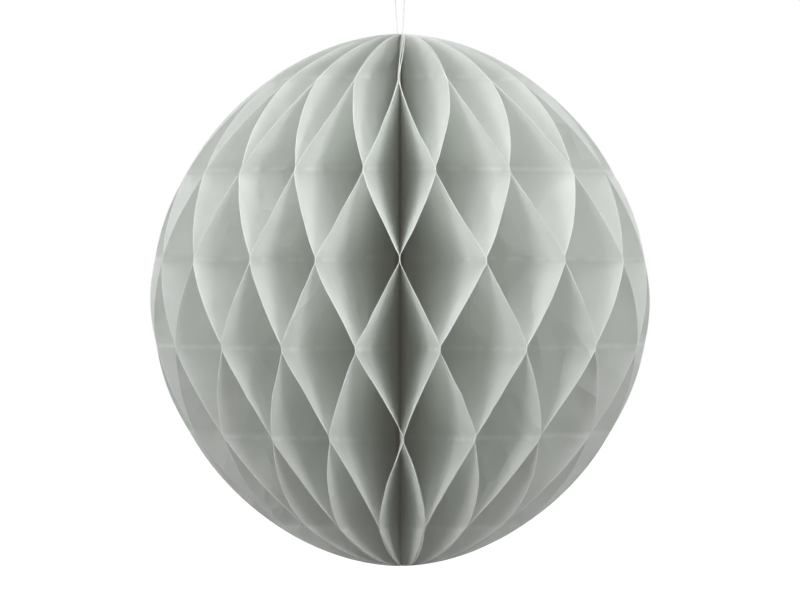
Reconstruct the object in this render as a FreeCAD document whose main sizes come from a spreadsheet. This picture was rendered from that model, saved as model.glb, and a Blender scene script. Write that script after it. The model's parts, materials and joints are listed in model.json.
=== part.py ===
import FreeCAD, Part
import Sketcher
import math
import os

# A paper honeycomb ball on a nylon loop, in millimetres.
# Frame: +Z up through the poles, origin where the loop hangs, the covers' seam at +Y, the front at -Y.
# Every sub-part is drawn about the ball's centre, and its Placement then lowers it below the origin.
# Thirty-eight wavy tissue half-discs stand round a vertical core like the leaves of a book opened all the way
# round. Each is glued to one neighbour at every other glue level and to its other neighbour at the levels
# between, which opens the cells. Two thin card covers close the ring, face to face, at the seam.

doc = FreeCAD.newDocument("honeycomb_ball")

SIZES = [
    ("ball_height", 200.0, "pole to pole"),
    ("ball_width", 188.0, "across the equator"),
    ("outline_power", 1.87, "2 would be an ellipse; less gives slimmer shoulders"),
    ("sheet_count", 38, "tissue half-discs, an even number"),
    ("sheet_thickness", 0.12, "one tissue sheet"),
    ("glue_gap", 0.04, "dried glue between two glued sheets"),
    ("level_count", 6, "glue levels from the lower pole to the upper one"),
    ("level_pitch", 33.8, "between neighbouring glue levels, along the core"),
    ("level_drop", 0.8, "how far the hanging sheets' glue levels sag below even spacing about the centre"),
    ("glue_flat", 1.2, "height over which two glued sheets lie flat together"),
    ("bend_share", 0.04, "share of the climb between levels spent bending at each end"),
    ("rim_draw_in", 0.05, "share by which the open cells pull the rim's glue levels to the equator"),
    ("side_shift", 5.0, "degrees the cells of both sides are pushed the same way round"),
    ("front_shift", 1.4, "degrees the cells are spread away from the front"),
    ("core_radius", 2.4, "the sheets' straight edges stand on this circle"),
    ("pole_radius", 4.0, "each sheet ends in a short straight edge out to this radius"),
    ("cover_thickness", 0.25, "thin card"),
    ("cover_gap", 0.10, "between the closed covers, filled by the pads"),
    ("cover_inset", 3.0, "the covers stop this far inside the tissue's outline"),
    ("cover_spine_gap", 6.0, "from the core's axis to the covers' straight edge"),
    ("pad_thickness", 0.08, "double-sided adhesive pads"),
    ("pad_length", 12.0, "pad size along the cover's edge"),
    ("pad_width", 6.0, "pad size across"),
    ("pad_radius", 60.0, "from the axis to the pads' near edge"),
    ("pad_pitch", 50.0, "between the pads' centres"),
    ("spine_radius", 0.5, "the cord through the core"),
    ("spine_low", 97.0, "depth of the cord's lower knot below the centre"),
    ("spine_knot_radius", 1.4, "the lower knot"),
    ("eye_radius", 0.8, "the cord's upper eye, at the middle of its strand"),
    ("eye_strand_radius", 0.25, "half the thickness of the eye's strand"),
    ("nylon_radius", 0.225, "half the thickness of the nylon loop"),
    ("loop_gap", 0.03, "play where the loop hangs in the eye"),
    ("loop_low", 98.2, "centre height of the loop's lower bend"),
    ("loop_low_radius", 0.85, "the loop's lower bend, at the middle of the nylon"),
    ("loop_top", 164.0, "centre height of the loop's upper bend"),
    ("loop_top_radius", 4.7, "the loop's upper bend, at the middle of the nylon"),
    ("knot_radius", 0.85, "the loop's knot"),
    ("knot_length", 2.4, "the loop's knot, along the nylon"),
    ("tail_length", 5.0, "the cut ends beyond the knot"),
    ("tail_lean", 28.0, "degrees each cut end leans from upright"),
]

sizes = doc.addObject("Spreadsheet::Sheet", "Sizes")
for row, (alias, number, meaning) in enumerate(SIZES, start=1):
    sizes.set(f"A{row}", alias)
    sizes.set(f"B{row}", str(number))
    sizes.set(f"C{row}", meaning)
    sizes.setAlias(f"B{row}", alias)
doc.recompute()


def size(alias):
    """The number in the cell with this alias."""
    return float(sizes.get(alias))


SEAM_ANGLE = 90.0
FRONT_ANGLE = 270.0
SHEET_COUNT = int(size("sheet_count"))
LEVEL_COUNT = int(size("level_count"))
HALF_HEIGHT = size("ball_height") / 2
HALF_WIDTH = size("ball_width") / 2
LEVEL_PITCH = size("level_pitch")
GLUED_OFFSET = (size("sheet_thickness") + size("glue_gap")) / 2
SEAM_OFFSET = (
    size("cover_gap") / 2
    + size("cover_thickness")
    + size("glue_gap")
    + size("sheet_thickness") / 2
)


# ---------- the outline and the waves ----------


def outline_radius(height):
    """The ball's radius at this height: a circle's rule with a power of its own."""
    power = size("outline_power")
    share = min(1.0, abs(height) / HALF_HEIGHT)
    return HALF_WIDTH * (1 - share**power) ** (1 / power)


def outline_height(radius):
    """The height above the centre where the outline has this radius."""
    power = size("outline_power")
    return HALF_HEIGHT * (1 - (radius / HALF_WIDTH) ** power) ** (1 / power)


def rim_point(spine_height):
    """Radius and height of the rim where a level line leaves the core at spine_height."""
    height = spine_height
    for _ in range(30):
        radius = outline_radius(height)
        height = spine_height * (1 - size("rim_draw_in") * (radius / HALF_WIDTH) ** 2)
    return radius, height


def level_height(level):
    """Height of a glue level on the core, counted from 0 at the bottom."""
    return (level - (LEVEL_COUNT - 1) / 2) * LEVEL_PITCH - size("level_drop")


def level_side(level):
    """1 at the levels where an odd sheet meets the next sheet round, -1 at the levels between."""
    return 1 if level % 2 else -1


def eased(share):
    """Climbs from 0 to 1 in a straight line with rounded ends."""
    bend = size("bend_share")
    slope = 1 / (1 - bend)
    if share < bend:
        return slope * share**2 / (2 * bend)
    if share > 1 - bend:
        return 1 - slope * (1 - share) ** 2 / (2 * bend)
    return slope * (share - bend / 2)


def wave(spine_height):
    """Where an odd sheet stands between its neighbours: 1 against the next one round, -1 against the last."""
    place = (spine_height - level_height(0)) / LEVEL_PITCH
    if place <= 0:
        return level_side(0)
    if place >= LEVEL_COUNT - 1:
        return level_side(LEVEL_COUNT - 1)
    level = int(place)
    flat = size("glue_flat") / 2 / LEVEL_PITCH
    share = min(1.0, max(0.0, (place - level - flat) / (1 - 2 * flat)))
    return level_side(level) * (1 - 2 * eased(share))


def node_angle(index):
    """Direction, in degrees, of the plane where sheet index and the next one are glued."""
    even = SEAM_ANGLE + 360 * index / SHEET_COUNT
    from_front = math.radians(even - FRONT_ANGLE)
    shift = size("side_shift") * math.sin(from_front) ** 2 + size("front_shift") * math.sin(from_front)
    return even + shift


def climb_shares():
    """Stations on the climb between two levels: close together in the bends, wide apart on the straight."""
    bend = size("bend_share")
    bend_steps, straight_steps = 4, 4
    shares = [bend * step / bend_steps for step in range(1, bend_steps + 1)]
    straight = 1 - 2 * bend
    shares += [bend + straight * step / straight_steps for step in range(1, straight_steps)]
    return shares + [1 - share for share in reversed(shares[:bend_steps])]


def cap_heights(outermost):
    """Stations from the outermost glued height to its pole, evenly spaced in radius, not in height."""
    start_radius, _ = rim_point(outermost)
    cap_steps = 8
    heights = []
    for step in range(1, cap_steps + 1):
        radius = start_radius + (size("pole_radius") - start_radius) * step / cap_steps
        draw_in = size("rim_draw_in") * (radius / HALF_WIDTH) ** 2
        heights.append(math.copysign(outline_height(radius) / (1 - draw_in), outermost))
    return heights


def stations():
    """Heights on the core, pole to pole, that follow the waves."""
    flat = size("glue_flat") / 2
    climb = LEVEL_PITCH - 2 * flat
    heights = cap_heights(level_height(0) - flat) + cap_heights(level_height(LEVEL_COUNT - 1) + flat)
    for level in range(LEVEL_COUNT):
        middle = level_height(level)
        heights += [middle - flat, middle, middle + flat]
        if level < LEVEL_COUNT - 1:
            heights += [middle + flat + climb * share for share in climb_shares()]
    return sorted(heights)


STATIONS = stations()


# ---------- one tissue sheet ----------


def sheet_curve(index, at_rim, side):
    """One long edge of a sheet as a smooth curve: at the rim or the core, on the + or - side round the ball.
    The sheet is drawn with its middle plane along +X, to be turned into place afterwards."""
    low_angle, high_angle = node_angle(index - 1), node_angle(index)
    half_angle = math.radians(high_angle - low_angle) / 2
    low_offset = SEAM_OFFSET if index == 1 else GLUED_OFFSET
    high_offset = SEAM_OFFSET if index == SHEET_COUNT else GLUED_OFFSET
    points = []
    for spine_height in STATIONS:
        place = wave(spine_height) * (1 if index % 2 else -1)
        angle = half_angle * place
        offset = low_offset * (1 - place) / 2 - high_offset * (1 + place) / 2
        offset += side * size("sheet_thickness") / 2
        radius, height = rim_point(spine_height) if at_rim else (size("core_radius"), spine_height)
        points.append(
            FreeCAD.Vector(
                radius * math.cos(angle) - offset * math.sin(angle),
                radius * math.sin(angle) + offset * math.cos(angle),
                height,
            )
        )
    curve = Part.BSplineCurve()
    curve.interpolate(Points=points, Parameters=RIM_LENGTHS)
    return curve.toShape()


def rim_lengths():
    """How far along the rim's outline each station lies."""
    lengths = [0.0]
    for low, high in zip(STATIONS, STATIONS[1:]):
        (low_radius, low_height), (high_radius, high_height) = rim_point(low), rim_point(high)
        lengths.append(lengths[-1] + math.hypot(high_radius - low_radius, high_height - low_height))
    return lengths


RIM_LENGTHS = rim_lengths()


def tissue_solid(index):
    """A sheet's two ruled faces, its core and rim edges and its two short ends, closed into a solid."""
    corners = [(True, 1), (True, -1), (False, -1), (False, 1)]
    edges = [sheet_curve(index, at_rim, side) for at_rim, side in corners]
    faces = [Part.makeRuledSurface(edges[n], edges[(n + 1) % 4]) for n in range(4)]
    for end in (0, -1):
        points = [edge.Vertexes[end].Point for edge in edges]
        faces.append(Part.Face(Part.makePolygon(points + points[:1])))
    shell = Part.makeShell(faces)
    shell.sewShape(1e-4)
    solid = Part.makeSolid(shell)
    if solid.Volume < 0:
        solid.reverse()
    return solid


def tissue_sheet(index):
    feature = doc.addObject("Part::Feature", f"tissue_sheet_{index:02d}")
    feature.Label = f"tissue_sheet_{index:02d}"
    feature.Shape = tissue_solid(index)
    middle = (node_angle(index - 1) + node_angle(index)) / 2
    feature.Placement.Rotation = FreeCAD.Rotation(FreeCAD.Vector(0, 0, 1), middle)
    return feature


# ---------- the covers and their pads ----------


def bind(feature, expressions):
    """Drive each named property from the spreadsheet."""
    for name, expression in expressions.items():
        feature.setExpression(name, expression)


def cover(label, side):
    """A thin card half-ellipse in the seam plane, on the side of its own end of the stack."""
    ellipse = doc.addObject("Part::Ellipse", f"{label}_outline")
    bind(
        ellipse,
        {
            "MajorRadius": "Sizes.ball_height / 2 - Sizes.cover_inset",
            "MinorRadius": "Sizes.ball_width / 2 - Sizes.cover_inset",
        },
    )
    ellipse.Placement.Rotation = FreeCAD.Rotation(
        FreeCAD.Vector(0, 0, 1), FreeCAD.Vector(0, 1, 0), FreeCAD.Vector(1, 0, 0), "ZYX"
    )
    card = doc.addObject("Part::Extrusion", f"{label}_card")
    card.Base = ellipse
    card.DirMode = "Custom"
    card.Dir = FreeCAD.Vector(-side, 0, 0)
    card.Solid = True
    bind(
        card,
        {
            "LengthFwd": "Sizes.cover_thickness",
            "Placement.Base.x": f"{-side} * Sizes.cover_gap / 2",
        },
    )
    room = doc.addObject("Part::Box", f"{label}_room")
    bind(
        room,
        {
            "Length": "2 * (Sizes.cover_gap + Sizes.cover_thickness)",
            "Width": "Sizes.ball_width / 2",
            "Height": "Sizes.ball_height",
            "Placement.Base.x": "-(Sizes.cover_gap + Sizes.cover_thickness)",
            "Placement.Base.y": "Sizes.cover_spine_gap",
            "Placement.Base.z": "-Sizes.ball_height / 2",
        },
    )
    half = doc.addObject("Part::MultiCommon", label)
    half.Label = label
    half.Shapes = [card, room]
    return half


def closing_pads():
    """Three adhesive pads, one below another, that hold the covers face to face."""
    pads = []
    for row in (-1, 0, 1):
        pad = doc.addObject("Part::Box", f"pad_{row + 2}")
        bind(
            pad,
            {
                "Length": "Sizes.pad_thickness",
                "Width": "Sizes.pad_width",
                "Height": "Sizes.pad_length",
                "Placement.Base.x": "-Sizes.pad_thickness / 2",
                "Placement.Base.y": "Sizes.pad_radius",
                "Placement.Base.z": f"{row} * Sizes.pad_pitch - Sizes.pad_length / 2",
            },
        )
        pads.append(pad)
    group = doc.addObject("Part::Compound", "closing_pads")
    group.Label = "closing_pads"
    group.Links = pads
    return group


# ---------- the cord and the loop ----------


def origin_plane(body, role):
    return next(o for o in body.Origin.OriginFeatures if o.Role == role)


def sketch_on(body, role, name):
    sketch = body.newObject("Sketcher::SketchObject", name)
    sketch.AttachmentSupport = [(origin_plane(body, role), "")]
    sketch.MapMode = "FlatFace"
    return sketch


def spine_thread():
    """The cord through the core: a knot at its foot and an eye at its head for the nylon loop."""
    body = doc.addObject("PartDesign::Body", "spine_thread")
    body.Label = "spine_thread"
    eye_height = (
        "(Sizes.loop_low - Sizes.loop_low_radius + Sizes.nylon_radius"
        " + Sizes.loop_gap + Sizes.eye_strand_radius - Sizes.eye_radius)"
    )
    cord = body.newObject("PartDesign::AdditiveCylinder", "cord")
    bind(
        cord,
        {
            "Radius": "Sizes.spine_radius",
            "Height": f"Sizes.spine_low + {eye_height} - Sizes.eye_radius",
            "Placement.Base.z": "-Sizes.spine_low",
        },
    )
    knot = body.newObject("PartDesign::AdditiveSphere", "foot_knot")
    bind(knot, {"Radius": "Sizes.spine_knot_radius", "Placement.Base.z": "-Sizes.spine_low"})
    eye = body.newObject("PartDesign::AdditiveTorus", "eye")
    eye.Placement.Rotation = FreeCAD.Rotation(FreeCAD.Vector(0, 1, 0), 90)
    bind(
        eye,
        {
            "Radius1": "Sizes.eye_radius",
            "Radius2": "Sizes.eye_strand_radius",
            "Placement.Base.z": eye_height,
        },
    )
    body.Tip = eye
    return body


def loop_path(body):
    """Half of the loop's middle line, from its lowest point to its highest, on the +X side."""
    sketch = sketch_on(body, "XZ_Plane", "loop_path")
    low, top = size("loop_low"), size("loop_top")
    low_radius, top_radius = size("loop_low_radius"), size("loop_top_radius")
    lean = math.asin((top_radius - low_radius) / (top - low))

    def arc(centre, radius, start, end):
        circle = Part.Circle(FreeCAD.Vector(0, centre, 0), FreeCAD.Vector(0, 0, 1), radius)
        return Part.ArcOfCircle(circle, start, end)

    low_arc = sketch.addGeometry(arc(low, low_radius, -math.pi / 2, -lean))
    top_arc = sketch.addGeometry(arc(top, top_radius, -lean, math.pi / 2))
    ends = [
        FreeCAD.Vector(radius * math.cos(lean), centre - radius * math.sin(lean), 0)
        for centre, radius in ((low, low_radius), (top, top_radius))
    ]
    strand = sketch.addGeometry(Part.LineSegment(*ends))
    sketch.addConstraint(Sketcher.Constraint("Tangent", low_arc, 2, strand, 1))
    sketch.addConstraint(Sketcher.Constraint("Tangent", strand, 2, top_arc, 1))
    for geometry, end in ((low_arc, 1), (low_arc, 3), (top_arc, 3), (top_arc, 2)):
        sketch.addConstraint(Sketcher.Constraint("PointOnObject", geometry, end, -2))
    driven = [
        (Sketcher.Constraint("Radius", low_arc, low_radius), "Sizes.loop_low_radius"),
        (Sketcher.Constraint("Radius", top_arc, top_radius), "Sizes.loop_top_radius"),
        (Sketcher.Constraint("DistanceY", -1, 1, low_arc, 3, low), "Sizes.loop_low"),
        (Sketcher.Constraint("DistanceY", -1, 1, top_arc, 3, top), "Sizes.loop_top"),
    ]
    for constraint, expression in driven:
        number = sketch.addConstraint(constraint)
        sketch.setExpression(f"Constraints[{number}]", expression)
    return sketch


def nylon_section(body):
    """The nylon's round section at the loop's lowest point."""
    sketch = sketch_on(body, "YZ_Plane", "nylon_section")
    middle = size("loop_low") - size("loop_low_radius")
    circle = Part.Circle(FreeCAD.Vector(0, middle, 0), FreeCAD.Vector(0, 0, 1), size("nylon_radius"))
    section = sketch.addGeometry(circle)
    sketch.addConstraint(Sketcher.Constraint("PointOnObject", section, 3, -2))
    height = sketch.addConstraint(Sketcher.Constraint("DistanceY", -1, 1, section, 3, middle))
    radius = sketch.addConstraint(Sketcher.Constraint("Radius", section, size("nylon_radius")))
    sketch.setExpression(f"Constraints[{height}]", "Sizes.loop_low - Sizes.loop_low_radius")
    sketch.setExpression(f"Constraints[{radius}]", "Sizes.nylon_radius")
    return sketch


def knot_tail(body, side):
    """One cut end of the nylon, leaning out of the knot."""
    tail = body.newObject("PartDesign::AdditiveCylinder", "left_tail" if side < 0 else "right_tail")
    tail.Placement.Rotation = FreeCAD.Rotation(FreeCAD.Vector(0, 1, 0), side * size("tail_lean"))
    bind(
        tail,
        {
            "Radius": "Sizes.nylon_radius",
            "Height": "Sizes.tail_length",
            "Placement.Base.z": "Sizes.loop_top + Sizes.loop_top_radius",
        },
    )
    return tail


def hanging_loop():
    """One length of nylon led through the eye and knotted into a long loop."""
    body = doc.addObject("PartDesign::Body", "hanging_loop")
    body.Label = "hanging_loop"
    path, section = loop_path(body), nylon_section(body)
    half = body.newObject("PartDesign::AdditivePipe", "half_loop")
    half.Profile = section
    half.Spine = path
    mirror = body.newObject("PartDesign::Mirrored", "whole_loop")
    mirror.Originals = [half]
    mirror.MirrorPlane = (origin_plane(body, "YZ_Plane"), [""])
    body.Tip = mirror
    knot = body.newObject("PartDesign::AdditiveEllipsoid", "knot")
    bind(
        knot,
        {
            "Radius1": "Sizes.knot_radius",
            "Radius2": "Sizes.knot_length / 2",
            "Radius3": "Sizes.knot_radius",
            "Placement.Base.z": "Sizes.loop_top + Sizes.loop_top_radius",
        },
    )
    knot_tail(body, -1)
    body.Tip = knot_tail(body, 1)
    return body


# ---------- build, check and write ----------


def hang(part):
    """Lower a sub-part drawn about the ball's centre, so that the nylon's inner side rests on the origin."""
    bind(part, {"Placement.Base.z": "-(Sizes.loop_top + Sizes.loop_top_radius - Sizes.nylon_radius)"})


subparts = [tissue_sheet(index) for index in range(1, SHEET_COUNT + 1)]
subparts += [cover("left_cover", 1), cover("right_cover", -1), closing_pads(), spine_thread(), hanging_loop()]
for part in subparts:
    hang(part)
doc.recompute()

for feature in doc.Objects:
    if {"Invalid", "Error"} & set(feature.State):
        raise RuntimeError(f"{feature.Label} did not build: {feature.State}")
for part in subparts:
    if part.Shape.isNull() or not part.Shape.isValid() or not part.Shape.Solids:
        raise RuntimeError(f"{part.Label} has no valid solid")

os.makedirs("parts", exist_ok=True)
for part in subparts:
    part.Shape.exportStep(f"parts/{part.Label}.step")
print(len(subparts), "sub-parts written")
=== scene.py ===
import json
import math

import bmesh
import bpy
import numpy as np
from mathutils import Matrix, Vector


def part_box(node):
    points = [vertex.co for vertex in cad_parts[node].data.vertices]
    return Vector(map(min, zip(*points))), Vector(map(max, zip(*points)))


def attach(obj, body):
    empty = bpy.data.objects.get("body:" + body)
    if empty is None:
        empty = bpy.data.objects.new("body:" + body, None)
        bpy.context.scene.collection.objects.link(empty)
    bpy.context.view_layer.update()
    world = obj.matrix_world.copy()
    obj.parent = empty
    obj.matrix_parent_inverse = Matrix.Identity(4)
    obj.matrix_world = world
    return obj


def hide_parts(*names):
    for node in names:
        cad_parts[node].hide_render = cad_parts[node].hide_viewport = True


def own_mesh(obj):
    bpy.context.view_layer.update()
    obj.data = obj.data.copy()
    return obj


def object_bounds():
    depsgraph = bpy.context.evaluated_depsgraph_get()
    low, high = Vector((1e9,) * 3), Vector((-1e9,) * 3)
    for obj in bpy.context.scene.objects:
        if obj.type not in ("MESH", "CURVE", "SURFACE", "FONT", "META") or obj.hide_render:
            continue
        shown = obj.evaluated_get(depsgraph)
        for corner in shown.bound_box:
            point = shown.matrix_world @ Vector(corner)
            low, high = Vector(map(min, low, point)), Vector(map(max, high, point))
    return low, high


# A paper honeycomb ball: wavy tissue sheets round a cord, two card covers at the seam, and a nylon loop.
# Lengths are in metres and angles in radians unless a name says otherwise.

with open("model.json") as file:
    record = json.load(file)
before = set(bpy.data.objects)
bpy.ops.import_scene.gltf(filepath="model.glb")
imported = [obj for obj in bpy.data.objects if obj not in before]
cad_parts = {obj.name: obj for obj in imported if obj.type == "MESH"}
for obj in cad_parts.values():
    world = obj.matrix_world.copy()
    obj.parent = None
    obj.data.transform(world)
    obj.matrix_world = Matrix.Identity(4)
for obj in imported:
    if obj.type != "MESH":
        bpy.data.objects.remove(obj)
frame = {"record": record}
CAD_LOW, CAD_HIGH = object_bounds()

MM = 0.001
# The seed isn't arbitrary. Of 300,000 tried by a separate script, it is the one whose first draw,
# NODE_SWAYS, comes nearest to where the cells meet across the front of the photographed ball.
FITTED_SEED = 127532
RANDOM = np.random.default_rng(FITTED_SEED)

# ---------- sizes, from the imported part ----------

COUPLINGS = frame["record"]["behaviour"]["couplings"]
SHEET_LOW, SHEET_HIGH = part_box("tissue_sheet_01")
BALL_CENTRE = Vector((0, 0, (SHEET_LOW[2] + SHEET_HIGH[2]) / 2))


def ball_box(node):
    """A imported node's low and high corners, measured from the ball's centre."""
    low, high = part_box(node)
    return np.array(low) - BALL_CENTRE, np.array(high) - BALL_CENTRE


SHEET_COUNT = len(COUPLINGS)
LEVEL_COUNT = 6
OUTLINE_POWER = 1.87  # 2 would make the outline an ellipse
SEAM_ANGLE = math.pi / 2
HALF_WIDTH = (CAD_HIGH.x - CAD_LOW.x) / 2
POLE_RADIUS = 4 * MM
POLE_HEIGHT = ball_box("tissue_sheet_01")[1][2]
HALF_HEIGHT = POLE_HEIGHT / (1 - (POLE_RADIUS / HALF_WIDTH) ** OUTLINE_POWER) ** (1 / OUTLINE_POWER)
LEVEL_PITCH = 33.8 * MM
LEVEL_DROP = 0.8 * MM
CORE_RADIUS = 2.4 * MM
RIM_DRAW_IN = 0.05  # the share by which a level line ends nearer the middle height than it starts
GLUE_FLAT = 1.2 * MM
BEND_SHARE = 0.04
GLUED_OFFSET = 0.08 * MM  # from a glued pair's middle to the middle of either sheet
SEAM_OFFSET = ball_box("right_cover")[1][0] + 0.10 * MM

# ---------- sizes of the finer details ----------

SHEET_THICKNESS = 0.10 * MM
EDGE_THICKNESS = 0.22 * MM
GLUED_EDGE_THICKNESS = 0.14 * MM
INNER_EDGE = 0.9 * MM
# painted light: the width of the paler line painted along each glue level
PAINTED_GLUE_LIGHT_WIDTH = 1.3 * MM
PAINTED_CORE_LIGHT_RADIUS = 14 * MM  # the core is painted paler inside this: painted light that lifts the deep shade there
POLE_PARTING = 4.0
POLE_LEAN = 2.0 * MM
NODE_SWAY = math.radians(1.3)
NODE_RISE = 0.35 * MM

WAVE_COUNT = 5
WAVE_HEIGHT = 0.22 * MM
WAVE_LENGTHS = (14, 40)  # millimetres, shortest and longest
CREASE_COUNT = 14
CREASE_HEIGHT = 0.45 * MM
CREASE_WIDTH = 4.0 * MM
CREASE_REACHES = (6, 16)  # millimetres, shortest and longest


# ---------- the outline and the waves ----------


def outline_radius(height):
    """The ball's radius at this height."""
    share = np.minimum(1.0, np.abs(height) / HALF_HEIGHT)
    return HALF_WIDTH * (1 - share**OUTLINE_POWER) ** (1 / OUTLINE_POWER)


def outline_height(radius):
    """The height above the centre where the outline has this radius."""
    return HALF_HEIGHT * (1 - (radius / HALF_WIDTH) ** OUTLINE_POWER) ** (1 / OUTLINE_POWER)


def rim_points(spine_heights):
    """Radius and height of the rim where the level lines leave the core at these heights."""
    heights = spine_heights
    for _ in range(30):
        radii = outline_radius(heights)
        heights = spine_heights * (1 - RIM_DRAW_IN * (radii / HALF_WIDTH) ** 2)
    return radii, heights


def level_height(level):
    """Height of a glue level on the core, counted from 0 at the bottom."""
    return (level - (LEVEL_COUNT - 1) / 2) * LEVEL_PITCH - LEVEL_DROP


LOWEST_GLUE = level_height(0) - GLUE_FLAT / 2
HIGHEST_GLUE = level_height(LEVEL_COUNT - 1) + GLUE_FLAT / 2


def eased(share):
    """Climbs from 0 to 1 in a straight line with rounded ends."""
    slope = 1 / (1 - BEND_SHARE)
    start = slope * share**2 / (2 * BEND_SHARE)
    end = 1 - slope * (1 - share) ** 2 / (2 * BEND_SHARE)
    middle = slope * (share - BEND_SHARE / 2)
    return np.where(share < BEND_SHARE, start, np.where(share > 1 - BEND_SHARE, end, middle))


def node_angles():
    """Direction of each glued plane round the ring, from the middle angle of every sheet between them."""
    angles = [SEAM_ANGLE]
    for coupling in COUPLINGS:
        middle = SEAM_ANGLE + 2 * math.pi * coupling["ratio"]
        angles.append(2 * middle - angles[-1])
    return np.array(angles)


NODE_ANGLES = node_angles()
NODE_SWAYS = RANDOM.uniform(-1, 1, (SHEET_COUNT + 1, LEVEL_COUNT)) * NODE_SWAY
NODE_RISES = RANDOM.uniform(-1, 1, (SHEET_COUNT + 1, LEVEL_COUNT)) * NODE_RISE
for seam_node in (0, SHEET_COUNT):
    NODE_SWAYS[seam_node] = 0
    NODE_RISES[seam_node] = 0


def station_heights():
    """Heights on the core, pole to pole, close together where the sheets bend and near the poles."""
    bend_steps, straight_steps, cap_steps = 4, 12, 14
    bend = [BEND_SHARE * step / bend_steps for step in range(1, bend_steps + 1)]
    straight_share = 1 - 2 * BEND_SHARE
    straight = [BEND_SHARE + straight_share * step / straight_steps for step in range(1, straight_steps)]
    shares = bend + straight + [1 - share for share in reversed(bend)]
    flat = GLUE_FLAT / 2
    climb = LEVEL_PITCH - 2 * flat
    heights = []
    for level in range(LEVEL_COUNT):
        middle = level_height(level)
        heights += [middle - flat, middle, middle + flat]
        if level < LEVEL_COUNT - 1:
            heights += [middle + flat + climb * share for share in shares]
    for outermost in (LOWEST_GLUE, HIGHEST_GLUE):
        start_radius = rim_points(np.array([outermost]))[0][0]
        radii = start_radius + (POLE_RADIUS - start_radius) * np.arange(1, cap_steps + 1) / cap_steps
        cap = outline_height(radii) / (1 - RIM_DRAW_IN * (radii / HALF_WIDTH) ** 2)
        heights += list(np.copysign(cap, outermost))
    return np.sort(heights)


STATIONS = station_heights()
RIM_RADII, RIM_HEIGHTS = rim_points(STATIONS)


def sheet_node(index, level):
    """The glued plane this sheet belongs to at this level: the one after it, or the one before."""
    return index if index % 2 == level % 2 else index - 1


def blend_levels(index, at_level):
    """at_level(node, level) for the two levels round each station, mixed along the sheet's climb."""
    values = np.array([at_level(sheet_node(index, level), level) for level in range(LEVEL_COUNT)])
    rises = np.array([NODE_RISES[sheet_node(index, level), level] for level in range(LEVEL_COUNT)])
    heights = level_height(np.arange(LEVEL_COUNT)) + rises
    place = np.clip(np.interp(STATIONS, heights, np.arange(LEVEL_COUNT)), 0, LEVEL_COUNT - 1)
    low = np.minimum(place.astype(int), LEVEL_COUNT - 2)
    flat = GLUE_FLAT / 2 / LEVEL_PITCH
    share = eased(np.clip((place - low - flat) / (1 - 2 * flat), 0, 1))
    return values[low] * (1 - share) + values[low + 1] * share


def openness(index):
    """0 where the sheet is glued to a neighbour, 1 halfway between two levels."""
    side = blend_levels(index, lambda node, level: 1.0 if node == index else -1.0)
    return 1 - np.abs(side)


# ---------- meshes ----------


def new_object(name, vertices, faces, material, smooth=True):
    """An object from vertices measured from the ball's centre."""
    mesh = bpy.data.meshes.new(name)
    placed = np.asarray(vertices) + BALL_CENTRE
    mesh.from_pydata([tuple(v) for v in placed], [], [tuple(int(i) for i in f) for f in faces])
    mesh.validate()
    edit = bmesh.new()
    edit.from_mesh(mesh)
    bmesh.ops.recalc_face_normals(edit, faces=edit.faces)
    edit.to_mesh(mesh)
    edit.free()
    mesh.polygons.foreach_set("use_smooth", [smooth] * len(mesh.polygons))
    mesh.materials.append(material)
    thing = bpy.data.objects.new(name, mesh)
    bpy.context.scene.collection.objects.link(thing)
    return thing


def strip_quads(first, second):
    """Quads between two equally long runs of vertices."""
    return np.stack([first[:-1], second[:-1], second[1:], first[1:]], axis=1)


def grid_quads(grid):
    """Quads of a whole grid of vertices."""
    return np.concatenate([strip_quads(grid[:, c], grid[:, c + 1]) for c in range(grid.shape[1] - 1)])


def slab_faces(rows, columns):
    """Faces of a thin closed sheet: a front and a back grid that share one row of vertices at the rim."""
    front = np.arange(rows * columns).reshape(rows, columns)
    back = front + rows * columns
    rim = np.arange(rows) + 2 * rows * columns
    quads = [grid_quads(front), grid_quads(back)[:, ::-1]]
    quads += [strip_quads(front[:, -1], rim), strip_quads(rim, back[:, -1])]
    quads += [strip_quads(back[:, 0], front[:, 0])]
    quads += [strip_quads(front[0], back[0]), strip_quads(back[-1], front[-1])]
    ends = [(front[0, -1], rim[0], back[0, -1]), (back[-1, -1], rim[-1], front[-1, -1])]
    return [quad for group in quads for quad in group] + ends


EDGE_STEPS = np.array([0.9, 0.5, 0.30, 0.15, 0.05]) * MM
EDGE_SWELL = np.array([0.0, 0.15, 0.75, 1.0, 0.75])
INNER_COLUMNS = 21


def wrinkle_field(radii, heights, free):
    """Soft waves and a few straight creases across a sheet, gone at the glue levels and at the core."""
    total = np.zeros_like(radii)
    for _ in range(WAVE_COUNT):
        length = RANDOM.uniform(*WAVE_LENGTHS) * MM
        turn = RANDOM.uniform(0, math.pi)
        phase = RANDOM.uniform(0, 2 * math.pi)
        wave = (radii * math.cos(turn) + heights * math.sin(turn)) * 2 * math.pi / length
        total += np.sin(wave + phase) * length / (60 * MM) * WAVE_HEIGHT
    for _ in range(CREASE_COUNT):
        turn = RANDOM.uniform(0, math.pi)
        start_radius = RANDOM.uniform(0.6, 1.0) * HALF_WIDTH
        start_height = RANDOM.uniform(-0.8, 0.8) * HALF_HEIGHT
        reach = RANDOM.uniform(*CREASE_REACHES) * MM
        across = (radii - start_radius) * math.cos(turn) + (heights - start_height) * math.sin(turn)
        along = (heights - start_height) * math.cos(turn) - (radii - start_radius) * math.sin(turn)
        ridge = np.clip(1 - np.abs(across) / CREASE_WIDTH, 0, 1) * np.exp(-((along / reach) ** 2))
        total += ridge * CREASE_HEIGHT * RANDOM.choice([-1, 1])
    return total * np.clip(free * 2.5, 0, 1)[:, None] * (radii / HALF_WIDTH) ** 1.5


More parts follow.
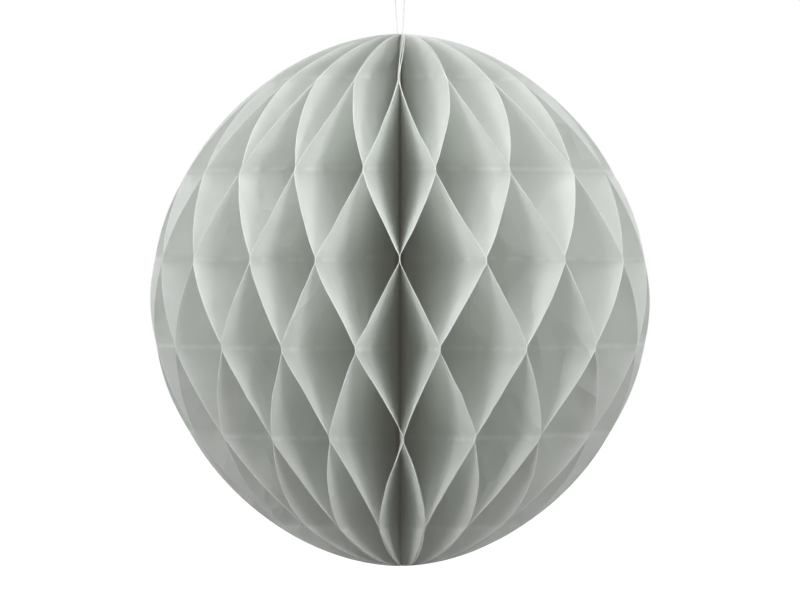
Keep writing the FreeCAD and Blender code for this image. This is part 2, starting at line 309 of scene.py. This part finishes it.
def sheet_columns(index):
    """Radii of each station's vertices from the core to just inside the rim, and how swollen the edge is.
    The sheets close in on the cord, except those beside the seam, which the covers hold off."""
    inner = np.linspace(0, 1, INNER_COLUMNS) ** 0.9
    last_inner = RIM_RADII - EDGE_STEPS[0]
    start = INNER_EDGE if 2 < index < SHEET_COUNT - 1 else CORE_RADIUS
    radii = start + (last_inner - start)[:, None] * inner[None, :]
    edges = RIM_RADII[:, None] - EDGE_STEPS[None, 1:]
    swell = np.concatenate([np.zeros(INNER_COLUMNS), EDGE_SWELL[1:]])
    return np.concatenate([radii, edges], axis=1), swell


def sheet_points(angles, offsets, radii):
    """Points of one layer: radii along a direction that turns with height, set off to its side."""
    share = (radii - CORE_RADIUS) / (RIM_RADII - CORE_RADIUS)[:, None]
    heights = STATIONS[:, None] + (RIM_HEIGHTS - STATIONS)[:, None] * share
    cos, sin = np.cos(angles), np.sin(angles)
    return np.stack([radii * cos - offsets * sin, radii * sin + offsets * cos, heights], axis=-1)


def sheet_side(index, node):
    """How far the sheet lies from a glued plane's middle, on its own side or clear of a cover."""
    if node == index:
        return -(SEAM_OFFSET if index == SHEET_COUNT else GLUED_OFFSET)
    return SEAM_OFFSET if index == 1 else GLUED_OFFSET


def past_last_level():
    """0 up to the outermost glue levels, 1 at the poles."""
    above = (STATIONS - HIGHEST_GLUE) / (STATIONS[-1] - HIGHEST_GLUE)
    below = (LOWEST_GLUE - STATIONS) / (LOWEST_GLUE - STATIONS[0])
    return np.clip(np.maximum(above, below), 0, 1)


def pole_parting():
    """How much wider than at a glue level the pairs of sheets stand apart on their way to the poles."""
    return 1 + POLE_PARTING * np.sin(past_last_level() * math.pi)


def pole_lean(angle):
    """The turn that leans the sheets' ends over at the poles, except beside the stiff covers."""
    away_from_seam = np.sin((angle - SEAM_ANGLE) / 2) ** 2
    return POLE_LEAN / RIM_RADII * past_last_level() * away_from_seam


def tissue_sheet(index, material):
    """One wavy half-disc with a slightly fluffed cut edge."""
    angle = blend_levels(index, lambda node, level: NODE_ANGLES[node])
    sway = blend_levels(index, lambda node, level: NODE_SWAYS[node, level])
    offset = blend_levels(index, lambda node, level: sheet_side(index, node)) * pole_parting()
    free = openness(index)
    radii, swell = sheet_columns(index)
    angle = angle + pole_lean(angle)
    angles = angle[:, None] + sway[:, None] * (radii / HALF_WIDTH)
    offsets = offset[:, None] + wrinkle_field(radii, STATIONS[:, None], free)
    edge = GLUED_EDGE_THICKNESS + (EDGE_THICKNESS - GLUED_EDGE_THICKNESS) * np.clip(free / 0.04, 0, 1)
    half = (SHEET_THICKNESS + (edge[:, None] - SHEET_THICKNESS) * swell[None, :]) / 2
    rim_angles, rim_offsets = angle[:, None] + sway[:, None], offsets[:, -1:]
    layers = [
        sheet_points(angles, offsets + half, radii),
        sheet_points(angles, offsets - half, radii),
        sheet_points(rim_angles, rim_offsets, RIM_RADII[:, None]),
    ]
    vertices = np.concatenate([layer.reshape(-1, 3) for layer in layers])
    sheet = new_object(f"tissue_{index:02d}", vertices, slab_faces(*radii.shape), material)
    # painted light along the glue levels
    glued = painted_glue_light_share()
    glue = np.concatenate([np.repeat(glued, radii.shape[1])] * 2 + [glued])
    swollen = np.tile(swell, len(STATIONS))
    # where the rim is painted paler, partly as a painted highlight
    cut = np.concatenate([swollen, swollen, np.ones(len(STATIONS))])
    depth = np.concatenate([radii.ravel(), radii.ravel(), RIM_RADII])
    # painted light: how much the sheet is painted paler near the core, where little light reaches
    core = np.clip(1 - depth / PAINTED_CORE_LIGHT_RADIUS, 0, 1)
    paint(sheet, glue=glue, cut=cut, core=core)
    lay_out(sheet, depth, vertices[:, 2], index)
    return sheet


def painted_glue_light_share():
    """Where light is painted along the glue levels: 1 on their middle lines, falling to 0 where the sheets
    part.
    """
    nearest = np.abs(STATIONS[:, None] - level_height(np.arange(LEVEL_COUNT))[None, :]).min(axis=1)
    return np.clip(1 - nearest / PAINTED_GLUE_LIGHT_WIDTH, 0, 1)


def paint(thing, **shares):
    """Where the sheet is glued, where its cut edge is and how near the core it is, for the material's
    painted light and paler edges.
    """
    for name, values in shares.items():
        layer = thing.data.attributes.new(name, "FLOAT", "POINT")
        layer.data.foreach_set("value", values.astype(np.float32))


def lay_out(thing, across, along, seed):
    """Flat sheet coordinates, so that the paper's fibres run with the sheet."""
    mesh = thing.data
    corners = np.zeros(len(mesh.loops), dtype=np.int32)
    mesh.loops.foreach_get("vertex_index", corners)
    scale, shift_across, shift_along = 10, seed * 3.7, seed * 1.3
    flat = np.stack([across[corners] * scale + shift_across, along[corners] * scale + shift_along], axis=1)
    layer = mesh.uv_layers.new(name="paper")
    layer.data.foreach_set("uv", flat.astype(np.float32).ravel())


def band_faces(here, there, count):
    """Quads between two rings of vertices that start at here and at there."""
    return [(here + n, here + (n + 1) % count, there + (n + 1) % count, there + n) for n in range(count)]


def tube(path, radius, sides=10, closed=False):
    """Vertices and faces of a round tube along a path of points."""
    off_axis = (0.31, 0.87, 0.12)  # no path here starts out this way
    path = np.asarray(path, float)
    count = len(path)
    if closed:
        ahead, behind = np.roll(path, -1, axis=0), np.roll(path, 1, axis=0)
    else:
        ahead, behind = np.vstack([path[1:], path[-1:]]), np.vstack([path[:1], path[:-1]])
    tangents = ahead - behind
    tangents /= np.linalg.norm(tangents, axis=1)[:, None]
    normal = np.cross(tangents[0], off_axis)
    rings = []
    for point, tangent in zip(path, tangents):
        normal = normal - tangent * (normal @ tangent)
        normal /= np.linalg.norm(normal)
        other = np.cross(tangent, normal)
        turn = np.arange(sides) * 2 * math.pi / sides
        rings.append(point + radius * (np.cos(turn)[:, None] * normal + np.sin(turn)[:, None] * other))
    faces = []
    for ring in range(count if closed else count - 1):
        faces += band_faces(ring * sides, (ring + 1) % count * sides, sides)
    if not closed:
        faces += [tuple(range(sides)), tuple(range((count - 1) * sides, count * sides))[::-1]]
    return np.concatenate(rings), faces


def joined(parts):
    """Several vertex and face lists as one."""
    vertices, faces, start = [], [], 0
    for points, polygons in parts:
        vertices.append(points)
        faces += [tuple(i + start for i in polygon) for polygon in polygons]
        start += len(points)
    return np.concatenate(vertices), faces


# ---------- materials ----------

TISSUE_LIGHT = (0.8835, 0.9005, 0.885)
TISSUE_SHADE = (0.8435, 0.8605, 0.842)
# painted light: the paler colour along the glue levels, lifting the shade of the doubled paper and
# standing for the crease's bright line
PAINTED_GLUE_LIGHT = (0.955, 0.968, 0.956)
# the cut edge's paler colour: partly the fluffed cut's own paleness, partly a painted highlight along the
# rims
CUT_PALE_AND_HIGHLIGHT = (0.93, 0.94, 0.93)
# painted light: the sheets' colour near the core, paler to lift the deep shade there
CORE_PAINTED_LIGHT = (0.955, 0.96, 0.95)
TISSUE_THROUGH = 0.45  # the share of the light that goes through the paper
CRUMPLE = 1.4 * MM


def new_material(name):
    """An empty material, its nodes and its links."""
    material = bpy.data.materials.new(name)
    material.use_nodes = True
    nodes = material.node_tree.nodes
    nodes.clear()
    return material, nodes, material.node_tree.links


def noise_texture(nodes, links, position, scale, detail):
    noise = nodes.new("ShaderNodeTexNoise")
    noise.inputs["Scale"].default_value = scale
    noise.inputs["Detail"].default_value = detail
    links.new(position, noise.inputs["Vector"])
    return noise.outputs["Fac"]


def crumpled(nodes, links, position):
    """A normal with soft facets, as thin paper has where it was handled, in patches here and there."""
    facets = nodes.new("ShaderNodeTexVoronoi")
    facets.inputs["Scale"].default_value = 9
    facets.inputs["Randomness"].default_value = 1
    links.new(position, facets.inputs["Vector"])
    patches = noise_texture(nodes, links, position, 2.2, 1)
    amount = nodes.new("ShaderNodeMapRange")
    amount.inputs["From Min"].default_value = 0.42
    amount.inputs["From Max"].default_value = 0.68
    links.new(patches, amount.inputs["Value"])
    bump = nodes.new("ShaderNodeBump")
    bump.inputs["Distance"].default_value = CRUMPLE
    links.new(amount.outputs["Result"], bump.inputs["Strength"])
    links.new(facets.outputs["Distance"], bump.inputs["Height"])
    return bump.outputs["Normal"]


def average(nodes, links, first, second):
    """Half of one value and half of another."""
    half = nodes.new("ShaderNodeMath")
    half.operation = "MULTIPLY"
    half.inputs[1].default_value = 0.5
    links.new(second, half.inputs[0])
    total = nodes.new("ShaderNodeMath")
    total.operation = "MULTIPLY_ADD"
    total.inputs[1].default_value = 0.5
    links.new(first, total.inputs[0])
    links.new(half.outputs[0], total.inputs[2])
    return total.outputs[0]


def two_tone(nodes, links, value, low, high):
    """A colour between two others; low and high are each a value and its colour."""
    ramp = nodes.new("ShaderNodeValToRGB")
    for element, (position, colour) in zip(ramp.color_ramp.elements, (low, high)):
        element.position = position
        element.color = (*colour, 1)
    links.new(value, ramp.inputs["Fac"])
    return ramp.outputs["Color"]


def tinted(nodes, links, colour, attribute, tint, mottle, least, most):
    """The colour, paler where the sheet's attribute is set, by a share that varies with the mottling."""
    reader = nodes.new("ShaderNodeAttribute")
    reader.attribute_name = attribute
    patchy = nodes.new("ShaderNodeMapRange")
    patchy.inputs["From Min"].default_value = 0.38
    patchy.inputs["From Max"].default_value = 0.58
    patchy.inputs["To Min"].default_value = least
    patchy.inputs["To Max"].default_value = most
    links.new(mottle, patchy.inputs["Value"])
    amount = nodes.new("ShaderNodeMath")
    amount.operation = "MULTIPLY"
    links.new(reader.outputs["Fac"], amount.inputs[0])
    links.new(patchy.outputs["Result"], amount.inputs[1])
    mix = nodes.new("ShaderNodeMix")
    mix.data_type = "RGBA"
    mix.inputs["B"].default_value = (*tint, 1)
    links.new(amount.outputs[0], mix.inputs["Factor"])
    links.new(colour, mix.inputs["A"])
    return mix.outputs["Result"]


def rough_normal(nodes, links, height, strength, distance):
    """A bump node fed by this height, whose own Normal input is still free."""
    bump = nodes.new("ShaderNodeBump")
    bump.inputs["Strength"].default_value = strength
    bump.inputs["Distance"].default_value = distance
    links.new(height, bump.inputs["Height"])
    return bump


def tissue_material():
    """Matte translucent tissue: fine fibres, faint mottling, paler cut edges partly painted as a
    highlight, painted light along the glue levels and painted light deep in the core.
    """
    material, nodes, links = new_material("tissue")
    output = nodes.new("ShaderNodeOutputMaterial")
    coordinates = nodes.new("ShaderNodeUVMap")
    coordinates.uv_map = "paper"
    paper = coordinates.outputs["UV"]
    fibres = noise_texture(nodes, links, paper, 220, 4)
    mottle = noise_texture(nodes, links, paper, 14, 3)
    mixed = average(nodes, links, fibres, mottle)
    colour = two_tone(nodes, links, mixed, (0.3, TISSUE_SHADE), (0.7, TISSUE_LIGHT))
    # painted light near the core, to lift its deep shade
    colour = tinted(nodes, links, colour, "core", CORE_PAINTED_LIGHT, mottle, 1.0, 1.0)
    # painted light along the glue levels
    colour = tinted(nodes, links, colour, "glue", PAINTED_GLUE_LIGHT, mottle, 0.0, 1.0)
    # paler cut edges: partly the fluffed cut's own colour, partly a painted highlight along the rims
    colour = tinted(nodes, links, colour, "cut", CUT_PALE_AND_HIGHLIGHT, mottle, 0.3, 0.7)
    bump = rough_normal(nodes, links, mixed, 0.12, 0.2 * MM)
    links.new(crumpled(nodes, links, paper), bump.inputs["Normal"])
    diffuse = nodes.new("ShaderNodeBsdfDiffuse")
    through = nodes.new("ShaderNodeBsdfTranslucent")
    for shader in (diffuse, through):
        links.new(colour, shader.inputs["Color"])
        links.new(bump.outputs["Normal"], shader.inputs["Normal"])
    blend = nodes.new("ShaderNodeMixShader")
    blend.inputs["Fac"].default_value = TISSUE_THROUGH
    links.new(diffuse.outputs[0], blend.inputs[1])
    links.new(through.outputs[0], blend.inputs[2])
    links.new(blend.outputs[0], output.inputs["Surface"])
    return material


def plain_material(name, colour, roughness, grain_scale, grain=0.06, glow=0.0):
    """A principled material whose colour and surface vary a little with a fine grain."""
    material, nodes, links = new_material(name)
    output = nodes.new("ShaderNodeOutputMaterial")
    shader = nodes.new("ShaderNodeBsdfPrincipled")
    position = nodes.new("ShaderNodeTexCoord")
    noise = noise_texture(nodes, links, position.outputs["Object"], grain_scale, 5)
    darker = [c * (1 - grain) for c in colour]
    paler = [min(1.0, c * (1 + grain)) for c in colour]
    grained = two_tone(nodes, links, noise, (0.35, darker), (0.65, paler))
    links.new(grained, shader.inputs["Base Color"])
    bump = rough_normal(nodes, links, noise, 0.2, 0.1 * MM)
    links.new(bump.outputs["Normal"], shader.inputs["Normal"])
    shader.inputs["Roughness"].default_value = roughness
    links.new(grained, shader.inputs["Emission Color"])
    shader.inputs["Emission Strength"].default_value = glow
    links.new(shader.outputs[0], output.inputs["Surface"])
    return material


tissue = tissue_material()
card = plain_material("card", (0.72, 0.74, 0.70), 0.85, 900)
adhesive = plain_material("adhesive", (0.80, 0.80, 0.76), 0.35, 500)
cord = plain_material("cord", (0.78, 0.78, 0.74), 0.9, 2500, grain=0.12)
nylon = plain_material("nylon", (0.66, 0.67, 0.66), 0.35, 700, grain=0.03)


# ---------- pieces ----------


def place(thing, body, node, slot):
    """Put the object on its body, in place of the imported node."""
    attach(thing, body)
    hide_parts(node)


def add_sheet(index):
    """One tissue sheet on its own leaf body."""
    sheet = tissue_sheet(index, tissue)
    place(sheet, f"leaf_{index:02d}", f"tissue_sheet_{index:02d}", "tissue")
    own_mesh(sheet)


def add_cover(node, body):
    """A half-ellipse of thin card with softened edges and corners."""
    low, high = ball_box(node)
    straight, half_height = low[1], high[2]
    reach = high[1]
    full = half_height / math.sqrt(1 - (straight / reach) ** 2)
    start = math.asin(half_height / full)
    soften, outline_points = 0.05 * MM, 97
    turns = np.linspace(-start, start, outline_points)
    outline = np.stack([reach * np.cos(turns), full * np.sin(turns)], axis=1)
    centre = np.array([(straight + reach) / 2, 0])
    inner = centre + (outline - centre) * (1 - soften / reach)
    rings = [
        (low[0], inner),
        (low[0] + soften, outline),
        (high[0] - soften, outline),
        (high[0], inner),
    ]
    vertices = np.concatenate([np.column_stack([np.full(len(r), x), r]) for x, r in rings])
    count, last = len(outline), len(rings) - 1
    faces = []
    for ring in range(last):
        faces += band_faces(ring * count, (ring + 1) * count, count)
    faces += [tuple(range(count))[::-1], tuple(range(last * count, (last + 1) * count))]
    cover = new_object(node + "_card", vertices, faces, card, smooth=False)
    place(cover, body, node, "card")


def add_pads():
    """Three soft-cornered adhesive pads between the covers."""
    low, high = ball_box("closing_pads")
    pad_height, corner, corner_points = 12 * MM, 1.2 * MM, 6
    parts = []
    for middle in (low[2] + pad_height / 2, 0.0, high[2] - pad_height / 2):
        ring = []
        for quarter, (side_y, side_z) in enumerate(((1, 1), (-1, 1), (-1, -1), (1, -1))):
            for step in range(corner_points):
                turn = (quarter + step / (corner_points - 1)) * math.pi / 2
                y = (low[1] + high[1]) / 2 + side_y * ((high[1] - low[1]) / 2 - corner)
                z = middle + side_z * (pad_height / 2 - corner)
                ring.append((y + corner * math.cos(turn), z + corner * math.sin(turn)))
        count = len(ring)
        points = np.array([(x, y, z) for x in (low[0], high[0]) for y, z in ring])
        faces = band_faces(0, count, count)
        faces += [tuple(range(count))[::-1], tuple(range(count, 2 * count))]
        parts.append((points, faces))
    pads = new_object("adhesive_pads", *joined(parts), adhesive, smooth=False)
    place(pads, "left_side", "closing_pads", "adhesive")


def trefoil(centre, size):
    """A closed overhand knot's middle line."""
    turn = np.linspace(0, 2 * math.pi, 90, endpoint=False)
    x = np.sin(turn) + 2 * np.sin(2 * turn)
    y = np.cos(turn) - 2 * np.cos(2 * turn)
    return np.array(centre) + size / 3 * np.stack([x, y, -np.sin(3 * turn) * 1.2], axis=1)


EYE_RADIUS = 0.8 * MM
EYE_STRAND = 0.25 * MM
PLY_COUNT = 3
PLY_RADIUS = 0.24 * MM
PLY_LAY_RADIUS = 0.25 * MM
PLY_LAY = 2.6 * MM
KNOT_STRAND = 0.40 * MM
EYE_PLY_COUNT = 2
EYE_PLY_RADIUS = 0.135 * MM
EYE_LAY_RADIUS = 0.11 * MM
EYE_TWISTS = 9


def cord_plies(foot, head):
    """The cord's plies, laid round one another."""
    heights = np.linspace(foot, head, 620)
    plies = []
    for ply in range(PLY_COUNT):
        turn = heights * 2 * math.pi / PLY_LAY + ply * 2 * math.pi / PLY_COUNT
        path = np.stack([PLY_LAY_RADIUS * np.cos(turn), PLY_LAY_RADIUS * np.sin(turn), heights], axis=1)
        plies.append(tube(path, PLY_RADIUS, sides=7))
    return plies


def eye_plies(centre):
    """Two thinner plies twisted into the ring of the eye."""
    turn = np.linspace(0, 2 * math.pi, 120, endpoint=False)
    plies = []
    for ply in range(EYE_PLY_COUNT):
        twist = turn * EYE_TWISTS + ply * math.pi
        ring = EYE_RADIUS + EYE_LAY_RADIUS * np.cos(twist)
        sideways = EYE_LAY_RADIUS * np.sin(twist)
        path = np.stack([sideways, ring * np.cos(turn), centre + ring * np.sin(turn)], axis=1)
        plies.append(tube(path, EYE_PLY_RADIUS, sides=8, closed=True))
    return plies


def add_cord():
    """A three-ply cord through the core, a knot at its foot and a doubled eye at its head."""
    low, high = ball_box("spine_thread")
    knot_radius = high[0]
    foot = low[2] + knot_radius
    eye_centre = high[2] - EYE_STRAND - EYE_RADIUS
    knot = trefoil((0, 0, foot), knot_radius - KNOT_STRAND - 0.02 * MM)
    parts = cord_plies(foot, eye_centre - EYE_RADIUS)
    parts.append(tube(knot, KNOT_STRAND, closed=True))
    parts += eye_plies(eye_centre)
    thread = new_object("core_cord", *joined(parts), cord)
    place(thread, "spine", "spine_thread", "cord")


NYLON = 0.225 * MM
LOOP_LOW_RADIUS = 0.85 * MM
LOOP_TOP_RADIUS = 4.7 * MM
EYE_PLAY = 0.03 * MM
STRAND_BOW = 0.35 * MM
TAIL_LENGTH = 5 * MM
TAIL_LEAN = math.radians(28)
TAIL_BOW = 0.2 * MM
TAIL_RISE = TAIL_LENGTH * math.cos(TAIL_LEAN) + NYLON * math.sin(TAIL_LEAN)
COIL_TURNS = 3
COIL_RADIUS = 0.55 * MM
COIL_LENGTH = 1.7 * MM


def loop_line():
    """Middle line of the hanging loop: under the eye's top, up a strand, round and down the other."""
    eye_top = ball_box("spine_thread")[1][2]
    low = eye_top - 2 * EYE_STRAND - EYE_PLAY - NYLON + LOOP_LOW_RADIUS
    top = ball_box("hanging_loop")[1][2] - TAIL_RISE - LOOP_TOP_RADIUS
    lean = math.asin((LOOP_TOP_RADIUS - LOOP_LOW_RADIUS) / (top - low))
    low_turns = np.linspace(-math.pi / 2, -lean, 14)
    top_turns = np.linspace(-lean, math.pi / 2, 30)
    low_arc = np.stack([np.cos(low_turns), np.sin(low_turns)], axis=1) * LOOP_LOW_RADIUS + (0, low)
    top_arc = np.stack([np.cos(top_turns), np.sin(top_turns)], axis=1) * LOOP_TOP_RADIUS + (0, top)
    steps = np.linspace(0, 1, 42)[1:-1, None]
    strand = low_arc[-1] + (top_arc[0] - low_arc[-1]) * steps
    half = np.concatenate([low_arc, strand, top_arc])
    mirrored = half[-2:0:-1] * (-1, 1)
    ring = np.concatenate([half, mirrored])
    rise = (ring[:, 1] - low) / (top - low)
    bow = STRAND_BOW * np.sin(np.clip(rise, 0, 1) * math.pi) * np.sign(ring[:, 0])
    return np.stack([ring[:, 0], bow, ring[:, 1]], axis=1), top + LOOP_TOP_RADIUS


def knot_coil(apex):
    """The turns of line that make the knot at the loop's top."""
    turn = np.linspace(0, COIL_TURNS * 2 * math.pi, 110)
    along = np.linspace(-COIL_LENGTH / 2, COIL_LENGTH / 2, len(turn))
    coil = np.stack([along, COIL_RADIUS * np.sin(turn), apex + COIL_RADIUS * np.cos(turn)], axis=1)
    return tube(coil, NYLON, sides=10)


def knot_tail(apex, side):
    """One cut end of the line, leaning out from the knot."""
    steps = np.linspace(0, 1, 14)[:, None]
    lean = np.array([side * math.sin(TAIL_LEAN), 0, math.cos(TAIL_LEAN)]) * TAIL_LENGTH
    path = np.array([side * 0.1 * MM, 0, apex]) + lean * steps * 0.98
    path[:, 1] += side * TAIL_BOW * np.sin(steps[:, 0] * math.pi)
    return tube(path, NYLON, sides=10)


def add_loop():
    """The nylon loop, with three turns of line and two cut ends for its knot."""
    line, apex = loop_line()
    parts = [tube(line, NYLON, sides=12, closed=True), knot_coil(apex)]
    parts += [knot_tail(apex, side) for side in (-1, 1)]
    loop = new_object("nylon_loop", *joined(parts), nylon)
    place(loop, "hanging_loop", "hanging_loop", "nylon")


for sheet_index in range(1, SHEET_COUNT + 1):
    add_sheet(sheet_index)
add_cover("left_cover", "left_side")
add_cover("right_cover", "right_side")
add_pads()
add_cord()
add_loop()


# ---------- floor, light and camera ----------


def add_floor():
    """A wide pale floor well below the hanging ball, which throws no light back up at it."""
    size, drop = 9, 0.32
    corners = [(x * size, y * size, -drop) for x, y in ((-1, -1), (1, -1), (1, 1), (-1, 1))]
    pale = plain_material("pale_floor", (0.84, 0.84, 0.84), 0.9, 3, grain=0.01, glow=0.85)
    floor = new_object("floor", np.array(corners), [(0, 1, 2, 3)], pale, smooth=False)
    floor.visible_diffuse = False
    floor.visible_transmission = False


def add_area_light(name, position, size, power):
    """A square lamp that looks at the ball from this side of its centre."""
    light = bpy.data.lights.new(name, "AREA")
    light.shape = "SQUARE"
    light.size = size
    light.energy = power
    lamp = bpy.data.objects.new(name, light)
    lamp.location = BALL_CENTRE + Vector(position)
    lamp.rotation_mode = "QUATERNION"
    lamp.rotation_quaternion = (-Vector(position)).to_track_quat("-Z", "Y")
    bpy.context.scene.collection.objects.link(lamp)


def set_sky(strength):
    """White light from all round, fading to none from below, and plain white behind the ball."""
    world = bpy.data.worlds.new("studio")
    bpy.context.scene.world = world
    world.use_nodes = True
    nodes, links = world.node_tree.nodes, world.node_tree.links
    nodes.clear()
    output = nodes.new("ShaderNodeOutputWorld")
    seen = nodes.new("ShaderNodeBackground")
    seen.inputs["Strength"].default_value = 1.0
    lighting = nodes.new("ShaderNodeBackground")
    direction = nodes.new("ShaderNodeTexCoord")
    split = nodes.new("ShaderNodeSeparateXYZ")
    links.new(direction.outputs["Generated"], split.inputs[0])
    fade = nodes.new("ShaderNodeMapRange")
    fade.inputs["From Min"].default_value = -0.75
    fade.inputs["From Max"].default_value = 0.25
    fade.inputs["To Min"].default_value = 0
    fade.inputs["To Max"].default_value = strength
    links.new(split.outputs["Z"], fade.inputs["Value"])
    links.new(fade.outputs["Result"], lighting.inputs["Strength"])
    path = nodes.new("ShaderNodeLightPath")
    mix = nodes.new("ShaderNodeMixShader")
    for background in (seen, lighting):
        background.inputs["Color"].default_value = (1, 1, 1, 1)
    links.new(path.outputs["Is Camera Ray"], mix.inputs["Fac"])
    links.new(lighting.outputs[0], mix.inputs[1])
    links.new(seen.outputs[0], mix.inputs[2])
    links.new(mix.outputs[0], output.inputs["Surface"])


def set_light_paths():
    """Let light pass through and bounce between many sheets before it is given up."""
    cycles = bpy.context.scene.cycles
    cycles.max_bounces = 24
    cycles.diffuse_bounces = 16
    cycles.transmission_bounces = 24


def set_picture():
    """Plain colours, with the slight veil that bright surroundings lay over the darkest parts."""
    picture = bpy.context.scene.view_settings
    picture.view_transform = "Standard"
    picture.use_curve_mapping = True
    picture.curve_mapping.black_level = (-0.0495, -0.046, -0.040)
    picture.curve_mapping.update()


def add_camera():
    """Level with the ball, about two metres away, seeing a little more than the ball's height."""
    picture_shape = 4 / 3
    distance = 20 * HALF_WIDTH
    seen_height = 2 * HALF_HEIGHT * 1.128
    rise = math.radians(0.6)
    data = bpy.data.cameras.new("camera")
    data.sensor_width = 36
    data.lens = data.sensor_width * distance / (seen_height * picture_shape)
    camera = bpy.data.objects.new("camera", data)
    towards = Vector((0, -math.cos(rise), math.sin(rise)))
    camera.location = BALL_CENTRE + towards * distance
    camera.rotation_mode = "QUATERNION"
    camera.rotation_quaternion = towards.to_track_quat("Z", "Y")
    bpy.context.scene.collection.objects.link(camera)
    bpy.context.scene.camera = camera


add_floor()
set_sky(0.487)
add_area_light("overhead", (0.0, -0.3, 1.5), 1.2, 14)
for side_name, side in (("left", -1), ("right", 1)):
    add_area_light(side_name + "_softbox", (side * 0.9, -1.35, 0.16), 0.6, 10.6)
    add_area_light(side_name + "_fill", (side * 1.6, -0.4, -0.25), 0.8, 7.2)
add_camera()
set_light_paths()
set_picture()
